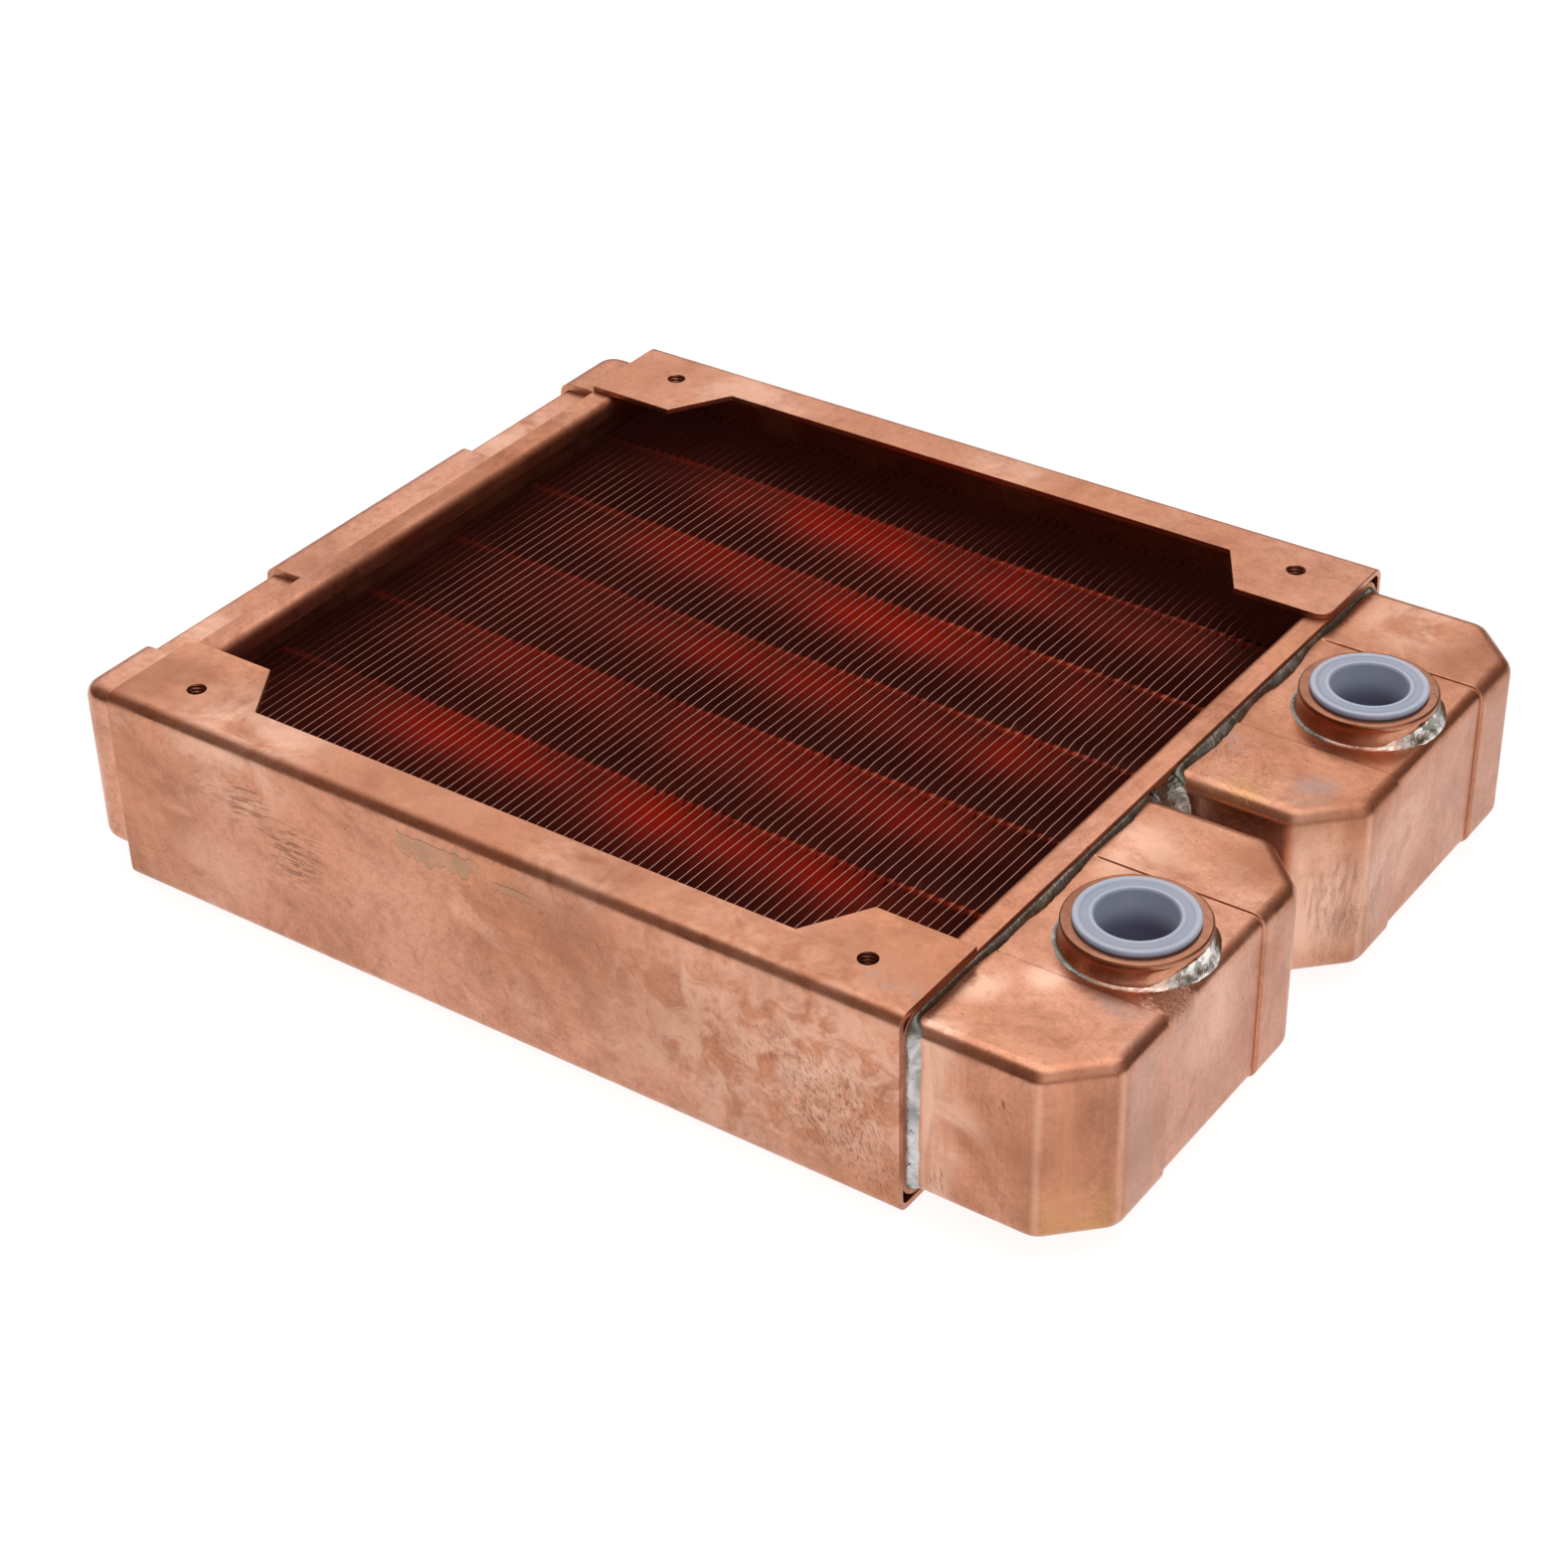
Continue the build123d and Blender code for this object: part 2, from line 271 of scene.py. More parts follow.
def copperBase(f, moved, brushed, streak):
    # two warm tones in drifts, a thin brown veil, rubbed places, mottling, fine brushing, hair scratches and pits
    c, m = copperColours, copperMarks

    def layer(name):
        scale, detail, distortion, rough, start, full, share = copperLayers[name]
        return f.ramp(f.noise(scale, detail, distortion, moved, rough), start, full, 0.0, share)

    veil = layer("veil")
    colour = f.blend(layer("drift"), c["pink"], c["orange"])
    colour = f.blend(veil, colour, c["smudgeAndShade"])
    for name, tone in (("rubbed", "pale"), ("mottle", "smudgeAndShade"), ("speckle", "smudgeAndShade")):
        colour = f.blend(layer(name), colour, c[tone])
    lines = f.noise(1.0, 5, 0.0, f.stretched(brushed), 0.75)
    colour = f.blend(f.product(f.ramp(lines, 0.40, 0.72), streak), colour, c["brown"])
    grain = f.noise(2100, 2, 0.0)
    colour = f.blend(f.ramp(grain, 0.35, 0.75, 0.0, m["grain"]), colour, c["brown"])
    hair = f.calc("ABSOLUTE", f.calc("SUBTRACT", f.noise(260, 3, 1.8, moved), 0.5))
    scratches = f.product(f.ramp(hair, 0.002, 0.010, 1.0, 0.0), f.ramp(f.noise(44, 2, 0.0, moved), 0.58, 0.68))
    colour = f.blend(f.product(scratches, m["hair"]), colour, c["brown"])
    colour = f.blend(layer("pits"), colour, c["brown"])
    return colour, veil, lines, grain, scratches


def addPaintedFaceShade(f, colour, lifts):
    # painted shade: a darker tone that grows along one axis where a second axis lets it, each axis with a start and a
    # stop in mm
    for first, second, tone, share in lifts:
        part = [f.ramp(f.axis(name), start * mm, stop * mm) for name, start, stop in (first, second)]
        colour = f.blend(f.product(*part, share), colour, copperColours[tone])
    return colour


def addSpots(f, colour, moved, spots):
    # soft balls of a tone with a ragged edge: smudges and discolouring, and also painted highlights and painted shade;
    # spots of the same raggedness share one noise
    edges = {}
    for *centre, radius, tone, share, ragged in spots:
        if ragged not in edges:
            edges[ragged] = f.ramp(f.noise(ragged, 5, 0.8, moved, 0.65), 0.36, 0.60)
        colour = f.blend(f.product(f.spot(centre, radius, 0.75), edges[ragged], share), colour, copperColours[tone])
    return colour


def addPaintedEdgeLight(f, colour, columns):
    # painted highlights and painted shade along upright edges: upright bands round a place in plan, broken into
    # streaks
    if not columns:
        return colour
    streaked = f.ramp(f.noise(1.0, 4, 0.3, f.stretched((700, 700, 90)), 0.6), 0.30, 0.60, 0.35, 1.0)
    for x, y, radius, tone, share in columns:
        colour = f.blend(f.product(f.column(x, y, radius), streaked, share), colour, copperColours[tone])
    return colour


def addDrips(f, colour, drips):
    # stains between two heights with a hanging ragged lower edge, a dark rim below and a thin crease above
    c, m = copperColours, copperMarks
    for xLow, xHigh, zTop, zLow, tone, share in drips:
        across = f.product(f.ramp(f.axis("X"), xLow * mm, (xLow + 1.2) * mm),
                           f.ramp(f.axis("X"), (xHigh - 3.0) * mm, xHigh * mm, 1.0, 0.0))
        fringe = f.calc("SUBTRACT", f.noise(1.0, 4, 0.0, f.stretched((620, 90, 60)), 0.6), 0.5)
        fringe = f.product(fringe, m["fringe"])
        level = f.calc("ADD", f.axis("Z"), fringe)
        cloudy = f.ramp(f.noise(260, 4, 0.5), 0.32, 0.6, 0.35, 1.0)
        inside = f.product(f.ramp(level, zLow * mm, (zLow + 0.25) * mm),
                           f.ramp(level, (zTop - 0.3) * mm, zTop * mm, 1.0, 0.0), across, cloudy)
        colour = f.blend(f.product(inside, share), colour, c[tone])
        rim = f.calc("ABSOLUTE", f.calc("SUBTRACT", level, (zLow + 0.1) * mm))
        rim = f.product(f.ramp(rim, 0.03 * mm, 0.16 * mm, 1.0, 0.0), across)
        colour = f.blend(f.product(rim, m["dripRim"]), colour, c["brown"])
        crease = f.calc("ADD", f.axis("Z"), f.product(fringe, 0.25))
        crease = f.calc("ABSOLUTE", f.calc("SUBTRACT", crease, (zTop - 0.2) * mm))
        crease = f.product(f.ramp(crease, 0.04 * mm, 0.14 * mm, 1.0, 0.0), across)
        colour = f.blend(f.product(crease, m["dripCrease"]), colour, c["brown"])
    return colour


def addStrokes(f, colour, strokes):
    # clusters of short dark scratches that lean by an angle; the second result masks those strong enough to be dents
    m = copperMarks
    dents = None
    for *centre, radius, lean, share, along, start in strokes:
        turned = f.stretched((along, along, m["strokeAcross"]), (0, math.radians(lean), 0))
        dash = f.ramp(f.noise(1.0, 4, 0.35, turned, 0.62), start, start + m["strokeFade"])
        mark = f.product(dash, f.spot(centre, radius, 0.7))
        colour = f.blend(f.product(mark, share), colour, copperColours["brown"])
        if share >= m["dentShare"]:
            dents = mark if dents is None else f.calc("MAXIMUM", dents, mark)
    return colour, dents


def copperFinish(name, brushed, seed, roughness, streak, lifts=(), spots=(), columns=(), drips=(), strokes=(),
                 hammered=()):
    # satin copper, and over it the marks of this one piece, together with its painted highlights and painted shade
    m = copperMarks
    f = Finish(name)
    moved = f.stretched((1, 1, 1), shift=(seed, seed * 0.7, -seed))
    colour, veil, lines, grain, scratches = copperBase(f, moved, brushed, streak)
    colour = addPaintedFaceShade(f, colour, lifts)
    colour = addSpots(f, colour, moved, spots)
    colour = addPaintedEdgeLight(f, colour, columns)
    colour = addDrips(f, colour, drips)
    colour, dents = addStrokes(f, colour, strokes)
    rough = f.calc("ADD", f.ramp(f.noise(70, 5, 0.5, moved), 0.3, 0.7, *roughness), f.product(veil, m["veilRough"]))
    normal = f.bump(grain, m["grainBump"], 0.00008)
    normal = f.bump(lines, m["lineBump"], 0.00008, normal)
    normal = f.bump(f.noise(75, 2, 0.3, moved), m["waveBump"], 0.0006, normal)
    normal = f.bump(f.product(scratches, -1.0), m["hairBump"], 0.0001, normal)
    if dents:
        normal = f.bump(f.product(dents, -1.0), m["strokeBump"], 0.0001, normal)
    if hammered:  # short upright glints
        where = 0.0
        for *centre, radius in hammered:
            where = f.calc("ADD", f.spot(centre, radius, 0.5), where)
        ripple = f.noise(1.0, 4, 0.8, f.stretched((1300, 1300, 330)), 0.7)
        normal = f.bump(f.product(ripple, where), m["hammerBump"], 0.0006, normal)
    return f.shade({"Base Color": colour, "Metallic": 1.0, "Roughness": rough, "Normal": normal})


solderColours = {"low": (0.27, 0.265, 0.245), "high": (0.62, 0.61, 0.60), "speck": (0.10, 0.10, 0.07),
                 "flux": (0.42, 0.33, 0.17), "upper": (0.145, 0.150, 0.120), "thinAndLit": (0.88, 0.62, 0.52),
                 "thick": (0.88, 0.85, 0.80)}


def solderFinish(name, thinAndLit, thick):
    # dull tin solder, darker on top, with dark specks and some flux; a pale copper tone where it is thin, which is
    # partly a painted highlight, and bright tin with painted glints where it is thick
    c = solderColours
    f = Finish(name)
    colour = f.blend(f.ramp(f.noise(260, 5, 0.8), 0.34, 0.66), c["low"], c["high"])
    colour = f.blend(f.ramp(f.noise(900, 3, 0.0), 0.63, 0.72), colour, c["speck"])
    colour = f.blend(f.ramp(f.noise(120, 3, 0.4), 0.60, 0.74, 0.0, 0.6), colour, c["flux"])
    upper = f.product(f.ramp(f.axis("Z"), 0.0250, 0.0268), f.ramp(f.noise(150, 4, 0.5), 0.30, 0.62, 0.35, 0.85))
    colour = f.blend(upper, colour, c["upper"])
    seen = f.ramp(f.noise(330, 4, 0.4), 0.30, 0.62, 0.45, 1.0)
    paintedGlints = f.ramp(f.noise(700, 5, 0.4), 0.44, 0.56, 0.1, 1.0)
    for places, broken, tone in ((thinAndLit, seen, "thinAndLit"), (thick, paintedGlints, "thick")):
        for centre, radius in places:
            colour = f.blend(f.product(f.spot(centre, radius, 0.6), broken), colour, c[tone])
    rough = f.ramp(f.noise(420, 4, 0.5), 0.35, 0.65, 0.12, 0.42)
    normal = f.bump(f.noise(480, 5, 0.6, None, 0.65), 0.55, 0.0004)
    normal = f.bump(f.noise(2600, 2, 0.0), 0.35, 0.0001, normal)
    return f.shade({"Base Color": colour, "Metallic": 1.0, "Roughness": rough, "Normal": normal})


print("copper and solder finishes")
# rows of marks, places and sizes in mm; spots: x, y, z, radius, tone, share, raggedness; columns: x, y, radius, tone,
# share; strokes: x, y, z, radius, lean in degrees, share, scale along, start; drips: x from, x to, z top, z low, tone,
# share; hammered: x, y, z, radius
screwHalf = 52.5
portPlaces = [(74.8, -29.75), (74.8, 29.75)]

# the lifts paint shade on the top flanges and towards the front left; the pale spots are painted highlights, the dark
# spots painted shade and smudges; drips are stains and strokes scratches
channelCopper = copperFinish(
    "channel_copper", (90, 2400, 2400), 0.0, (0.25, 0.38), 0.12,
    lifts=[(("Z", 28.2, 29.0), ("Y", -46, -52), "smudgeAndShade", 0.42),
           (("Z", 28.2, 29.0), ("X", -35, -10), "smudgeAndShade", 0.24), (("X", -25, -55), ("Y", -50, -58), "smudgeAndShade", 0.16)],
    spots=[
        (-52, -60, 16, 9, "smudgeAndShade", 0.55, 260), (12, -60, 17, 13, "smudgeAndShade", 0.6, 160),
        (30, -60, 5, 10, "smudgeAndShade", 0.45, 260), (38, -60, 14, 26, "pale", 0.52, 260),
        (57, -60, 18, 18, "pale", 0.55, 260), (48, -60, 8, 12, "smudgeAndShade", 0.5, 420), (-45, -60, 6, 9, "pale", 0.3, 100),
        (54.6, -55.2, 29, 1.7, "grey", 0.8, 420), (57.4, -55.0, 29, 1.9, "grey", 0.8, 420),
        (60.0, -55.3, 29, 1.7, "grey", 0.7, 420), (-58, -52, 29, 8, "smudgeAndShade", 0.5, 160),
        (-40, -57, 30, 16, "pale", 0.6, 100), (-14, -57, 30, 13, "smudgeAndShade", 0.5, 100),
        (14, -57, 30, 11, "pale", 0.4, 160), (25, -57, 30, 26, "smudgeAndShade", 0.6, 60),
        (56, -50, 30, 12, "smudgeAndShade", 0.45, 260), (-58, -52, 30, 10, "smudgeAndShade", 0.45, 100),
        (-40, 57, 29, 16, "pale", 0.5, 100), (5, 58, 29, 10, "pale", 0.5, 100)],
    drips=[(-13.0, 2.0, 26.6, 23.4, "stain", 0.75), (2.5, 10.5, 24.9, 23.3, "stain", 0.6)],
    strokes=[
        (-38, -60, 20.5, 6, -6, 0.62, 360, 0.49), (-30.5, -60, 16, 7, 2, 0.66, 360, 0.49),
        (-45, -60, 21, 4, -8, 0.35, 400, 0.52), (52, -60, 12, 11, 66, 0.62, 900, 0.52),
        (44, -60, 18, 8, 60, 0.5, 800, 0.54), (57, -60, 6, 7, 74, 0.55, 900, 0.53),
        (38, -60, 10, 9, 48, 0.4, 700, 0.57), (20, -60, 18, 9, 70, 0.3, 700, 0.57),
        (12, -60, 21, 8, 64, 0.35, 700, 0.55)])

headerCopper = copperFinish(
    "header_copper", (2400, 90, 2400), 0.13, (0.36, 0.5), 0.16,
    spots=[(-57.7, -18, 22, 9, "brown", 0.6, 260), (-58, 30, 24, 14, "smudgeAndShade", 0.5, 260)])

# the lifts paint shade on the tops and the end faces; pale spots and pale columns are painted highlights on the faces
# and upright edges, dark spots and columns painted shade and smudges
portTankCopper = copperFinish(
    "port_tank_copper", (2400, 2400, 110), 0.29, (0.23, 0.36), 0.2,
    lifts=[(("Z", 25.6, 26.6), ("X", 60, 61), "smudgeAndShade", 0.16), (("X", 84.5, 85.6), ("Z", 0, 1), "smudgeAndShade", 0.22)],
    spots=[
        (83, -54.5, 5, 8, "gold", 0.65, 100), (77, -58, 19, 8, "smudgeAndShade", 0.45, 60),
        (83, -54, 15, 10, "smudgeAndShade", 0.35, 60), (86, -45, 12, 8, "smudgeAndShade", 0.45, 100),
        (70, -53, 27, 8, "smudgeAndShade", 0.25, 420), (76.5, -58, 13, 9, "smudgeAndShade", 0.35, 60),
        (84, -53, 21, 7, "brown", 0.3, 60), (80, -41, 26.6, 5, "grey", 0.5, 260),
        (70, -41.5, 26.6, 4, "pale", 0.7, 160), (64, -47, 27, 5, "pale", 0.6, 160),
        (66, -35, 27, 7, "smudgeAndShade", 0.6, 100), (80, -8, 27, 7, "smudgeAndShade", 0.55, 160),
        (80, 48, 27, 8, "smudgeAndShade", 0.55, 100), (66, 40, 27, 8, "smudgeAndShade", 0.5, 160), (86, -30, 20, 9, "pale", 0.4, 100),
        (66, -58, 14, 8, "pale", 0.8, 60), (72, 3, 14, 18, "pale", 0.9, 60), (80, 5, 14, 14, "pale", 0.7, 100),
        (73, 7, 27, 8, "smudgeAndShade", 0.65, 260), (78, 9, 27, 5, "grey", 0.6, 160), (64, 13, 27, 4, "grey", 0.5, 420),
        (70, 4, 27, 5, "gold", 0.5, 160), (71, 52, 27, 10, "pale", 0.6, 100), (82, -30, 26, 8, "pale", 0.6, 160),
        (66, -14, 27, 9, "pale", 0.5, 100), (86, 20, 16, 12, "pale", 0.45, 100), (82, 54, 20, 9, "smudgeAndShade", 0.5, 100)],
    columns=[
        (63.5, -57.85, 6.5, "pale", 0.85), (78.6, -57.8, 0.9, "pale", 0.5), (76.6, -58.2, 3.0, "smudgeAndShade", 0.34),
        (81.0, -55.4, 3.2, "orange", 0.6), (85.7, -50.7, 0.9, "pale", 0.55), (85.2, -52.6, 2.2, "brown", 0.35),
        (85.7, -46.5, 5.0, "grey", 0.3), (85.7, -9.6, 1.0, "pale", 0.5), (78.5, 2.4, 1.0, "pale", 0.6),
        (85.7, 9.6, 0.9, "pale", 0.7), (84.2, 7.8, 2.4, "smudgeAndShade", 0.4), (85.7, 50.6, 1.0, "pale", 0.5),
        (66, -2.4, 7, "smudgeAndShade", 0.4)],
    strokes=[(74, -58, 20, 2.5, 70, 0.8, 400, 0.54), (66, -58, 6, 2.5, 80, 0.7, 400, 0.54)],
    hammered=[(84.5, 8, 14, 8), (84.5, 8, 6, 7), (83.5, -37, 26, 4)])

# pale spots on the top and pale columns at the near corners are painted highlights; the dark spots are painted shade
# and smudges
returnTankCopper = copperFinish(
    "return_tank_copper", (2400, 110, 2400), 0.47, (0.25, 0.38), 0.2,
    spots=[
        (-66, -40, 27, 14, "pale", 0.7, 100), (-66, 30, 27, 16, "pale", 0.6, 100),
        (-68, -57, 25, 4, "smudgeAndShade", 0.6, 160), (-63, -20, 27, 10, "smudgeAndShade", 0.5, 160)],
    columns=[(-69.7, -57.9, 3.4, "pale", 0.9), (-62.5, -57.9, 3.0, "pale", 0.5)])

# darker on top and on the side towards the core: painted shade
bossCopper = copperFinish(
    "boss_copper", (1500, 1500, 1500), 0.61, (0.16, 0.26), 0.1,
    lifts=[(("Z", 28.9, 29.6), ("X", 0, 1), "brown", 0.58)],
    spots=[(x - 9, y - 2, 28.5, 7, "brown", 0.6, 60) for x, y in portPlaces])

# the brown round each screw hole is painted shade inside the holes
threadCopper = copperFinish(
    "thread_copper", (1500, 1500, 1500), 0.75, (0.3, 0.42), 0.1,
    spots=[(x, y, z, 3.2, "brown", 0.9, 60)
           for x in (-screwHalf, screwHalf) for y in (-screwHalf, screwHalf) for z in (0.9, 28.2)])

# thin spots: the front of each boss bead, a painted highlight in a copper tone; thick spots: painted glints on the
# side towards the tank end
tinSolder = solderFinish("tin_solder", thinAndLit=[((x + 4.5, y - 8.6, 27), 7.0) for x, y in portPlaces],
                         thick=[((x + 9.6, y - 1.5, 27.5), 6.0) for x, y in portPlaces])


# side channels: the folded sheets, with softened edges
channel = {"edgeRound": 0.16, "edgeSteps": 3, "sharpDegrees": 50}


def softenedCopy(name, node, width, steps, material, limitDegrees=40, sharpDegrees=24):
    # the CAD node's own shape, merged and cleaned, with every hard edge slightly rounded
    mesh = nodes[node].data.copy()
    work = bmesh.new()
    work.from_mesh(mesh)
    bmesh.ops.remove_doubles(work, verts=work.verts, dist=2e-6)
    bmesh.ops.dissolve_limit(work, angle_limit=math.radians(0.6), verts=work.verts, edges=work.edges)
    work.to_mesh(mesh)
    work.free()
    mesh.materials.clear()
    mesh.materials.append(material)
    piece = bpy.data.objects.new(name, mesh)
    scene.collection.objects.link(piece)
    bevel = piece.modifiers.new("softEdges", "BEVEL")
    bevel.limit_method = "ANGLE"
    bevel.angle_limit = math.radians(limitDegrees)
    bevel.width = width * mm
    bevel.segments = steps
    bakeModifiers(piece)
    flatterNormals(piece, sharpDegrees)
    finishPiece(piece, [node])
    return piece


print("side channels")
for side in ("front", "rear"):
    softenedCopy(f"folded_side_{side}", f"side_channel_{side}", channel["edgeRound"], channel["edgeSteps"],
                 channelCopper, sharpDegrees=channel["sharpDegrees"])


# screw collars: the sheet drawn down round each hole and threaded
collar = {"square": 2 * screwHalf, "inner": 1.3, "outer": 1.85, "sheet": 0.9, "depth": 1.9, "pitch": 0.5, "cut": 0.16,
          "steps": 40}


def collarShape(x, y, flangeZ, downwards):
    # outer wall with a soft root, and an inner wall whose radius saws up and down once a pitch, turned into a helix
    c = collar
    turn = np.linspace(0, 2 * np.pi, c["steps"], endpoint=False)[:, None]
    start = c["sheet"] * 0.9
    depth = np.linspace(-start, c["depth"], c["steps"])[None, :]
    saw = np.abs(((depth / c["pitch"] + turn / (2 * np.pi)) % 1) - 0.5) * 2
    inner = c["inner"] - 0.02 - c["cut"] * saw * np.clip((depth + start) / 0.3, 0, 1)
    outer = np.array([(c["depth"], -0.1), (c["depth"] - 0.1, 0), (0.4, 0.05), (0.05, 0.5), (-0.1, 0.5)])
    radius = np.concatenate([inner, np.repeat(c["outer"] + outer[None, :, 1], c["steps"], 0)], 1)
    height = np.repeat(np.concatenate([depth, outer[None, :, 0]], 1), c["steps"], 0)
    sign = -1 if downwards else 1
    points = np.stack([x + radius * np.cos(turn), y + radius * np.sin(turn), flangeZ + sign * height], -1)
    return points.reshape(-1, 3), gridFaces(c["steps"], radius.shape[1], True, True)


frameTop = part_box("side_channel_front")[1].z / mm
half = collar["square"] / 2
collars = []
for x in (-half, half):
    for y in (-half, half):
        collars.append(collarShape(x, y, frameTop - collar["sheet"], True))
        collars.append(collarShape(x, y, collar["sheet"], False))
addPiece("screw_collars", *joinParts(collars), material=threadCopper, slot="side_copper", sharpDegrees=50, weld=0.0005)
print("screw collars")


# headers: a drawn plate whose rim turns round a bend and back into the tube plate
header = {"outer": 61.6, "depth": 3.9, "sheet": 0.8, "corner": 3.6, "bend": 1.25, "setback": 0.2, "edge": 0.08,
          "groove": 2.3, "pocket": 3.1, "foot": 0.5, "plateIn": 3.55, "halfWidth": 59.15, "halfHeight": 13.65,
          "midHeight": 14.55, "barHalf": 1.9}


def headerShape(side, hasBar):
    # the cut of the sheet (distance in from the rim, x) carried round a rounded rectangle, closed by flat middles
    h = header
    inX = h["outer"] - h["depth"]
    bend, foot = [[(math.sin(a), math.cos(a)) for a in np.linspace(0, math.pi / 2, steps)] for steps in (8, 5)]
    bend = [(h["bend"] * (1 - cos), inX + h["bend"] * (1 - sin)) for sin, cos in bend]
    foot = [(h["pocket"] - h["foot"] * (1 - sin), inX + h["foot"] * (1 - cos)) for sin, cos in foot]
    plateOut, plateIn = h["outer"] - h["setback"], h["outer"] - h["setback"] - h["sheet"]
    cut = [(h["edge"], h["outer"]), (0.0, h["outer"] - h["edge"])] + bend + foot
    cut += [(h["pocket"], plateIn), (h["plateIn"], plateIn), (h["plateIn"], plateOut), (h["groove"], plateOut),
            (h["groove"], inX + h["sheet"]), (h["sheet"], inX + h["sheet"]),
            (h["sheet"], h["outer"] - h["edge"]), (h["sheet"] - h["edge"], h["outer"])]
    cut = np.array(cut)
    w, t = h["halfWidth"], h["halfHeight"]
    base, normal = roundedPath([(-w, -t), (w, -t), (w, t), (-w, t)], h["corner"], 24)
    outward = h["corner"] - cut[None, :, 0]
    yz = base[:, None, :] + normal[:, None, :] * outward[..., None]
    x = np.broadcast_to(cut[None, :, 1], yz.shape[:2])
    points = np.stack([x * side, yz[..., 0] * side, yz[..., 1] + h["midHeight"]], -1)
    parts = [(points, gridFaces(len(base), len(cut), True, True))]

    def addBlock(xs, halfY, halfZ):
        corners = np.array([[px, sy * halfY, sz * halfZ + h["midHeight"]]
                            for px in xs for sy in (-1, 1) for sz in (-1, 1)])
        faces = [[0, 1, 3, 2], [4, 6, 7, 5], [0, 4, 5, 1], [2, 3, 7, 6], [0, 2, 6, 4], [1, 5, 7, 3]]
        parts.append((corners * [side, 1, 1], faces))

    addBlock((plateIn, plateOut), w - 3.5, t - 3.5)
    if hasBar:
        addBlock((plateIn, h["outer"] - 0.02), h["barHalf"], t - 0.5)
    return joinParts(parts)


print("headers")
addPiece("drawn_header_return", *headerShape(-1, False), ["return_header"], headerCopper, "header_copper", 30)
addPiece("drawn_header_ports", *headerShape(1, True), ["port_header"], headerCopper, "header_copper", 30)


# tanks: drawn caps with sunk bands, all corners soft
tank = {"mouth": 58.7, "rimX": 61.6, "half": 57.85, "bottom": 2.2, "top": 26.9, "edgeRound": 2.1, "wall": 0.8,
        "bandStart": 62.1, "bandRun": 0.3, "stepWidth": 0.2,
        "return": {"depth": 8.1, "chamfer": 0.0, "corner": 3.2, "bands": [(-33.2, 24.6), (33.2, 24.6)], "endSink": 1.0,
                   "bandDepth": 1.0},
        "port": {"depth": 24.1, "chamfer": 7.2, "corner": 3.6, "endSink": 0.4, "lobeGap": 4.8, "bandDepth": 0.25,
                 "bands": {"front": [(-29.1, 22.7)], "rear": [(29.75, 24.0)]}}}


def smoothStep(value):
    value = np.clip(value, 0, 1)
    return value * value * (3 - 2 * value)


def capPath(outline, shares, big, bands):
    # the plan outline with rounded corners: arc centres, outward normals, and whether a station is off the two sides
    mouth = tank["mouth"]
    ends = np.array(outline, float)
    rounds = [cornerRound(*ends[k:k + 3], big, 9) for k in range(len(ends) - 2)]
    offset = tank["stepWidth"] * np.array([-1.2, -0.5, -0.25, 0.0, 0.25, 0.5, 1.2])
    bases, normals, kinds = [], [], []

    def addStations(base, normal, kind):
        bases.append(base)
        normals.append(normal if normal.ndim == 2 else np.repeat(normal[None], len(base), 0))
        kinds.extend([kind] * len(base))

    for k, (centre, nIn, nOut, arcNormals) in enumerate(rounds):
        xs = mouth + shares[:-1] * (centre[0] - mouth)
        side = np.stack([xs, np.full_like(xs, centre[1])], 1)
        if k == 0:
            addStations(side, nIn, 0)
        addStations(np.repeat(centre[None], len(arcNormals), 0), arcNormals, 1)
        if k == len(rounds) - 1:
            addStations(side[::-1], nOut, 0)
            break
        nextCentre = rounds[k + 1][0]
        share = np.linspace(0, 1, 6)[1:-1]
        if abs(nOut[0] - 1) < 1e-6:  # the end face, with closer stations at the steps of its bands
            ys = [np.linspace(centre[1], nextCentre[1], 14)[1:-1]]
            for middle, width in bands:
                ys += [middle - width / 2 + offset, middle + width / 2 + offset]
            ys = np.unique(np.round(np.concatenate(ys), 4))
            share = (ys - centre[1]) / (nextCentre[1] - centre[1])
        addStations(centre + (nextCentre - centre) * share[:, None], nOut, 1)
    return np.concatenate(bases), np.concatenate(normals), np.array(kinds)


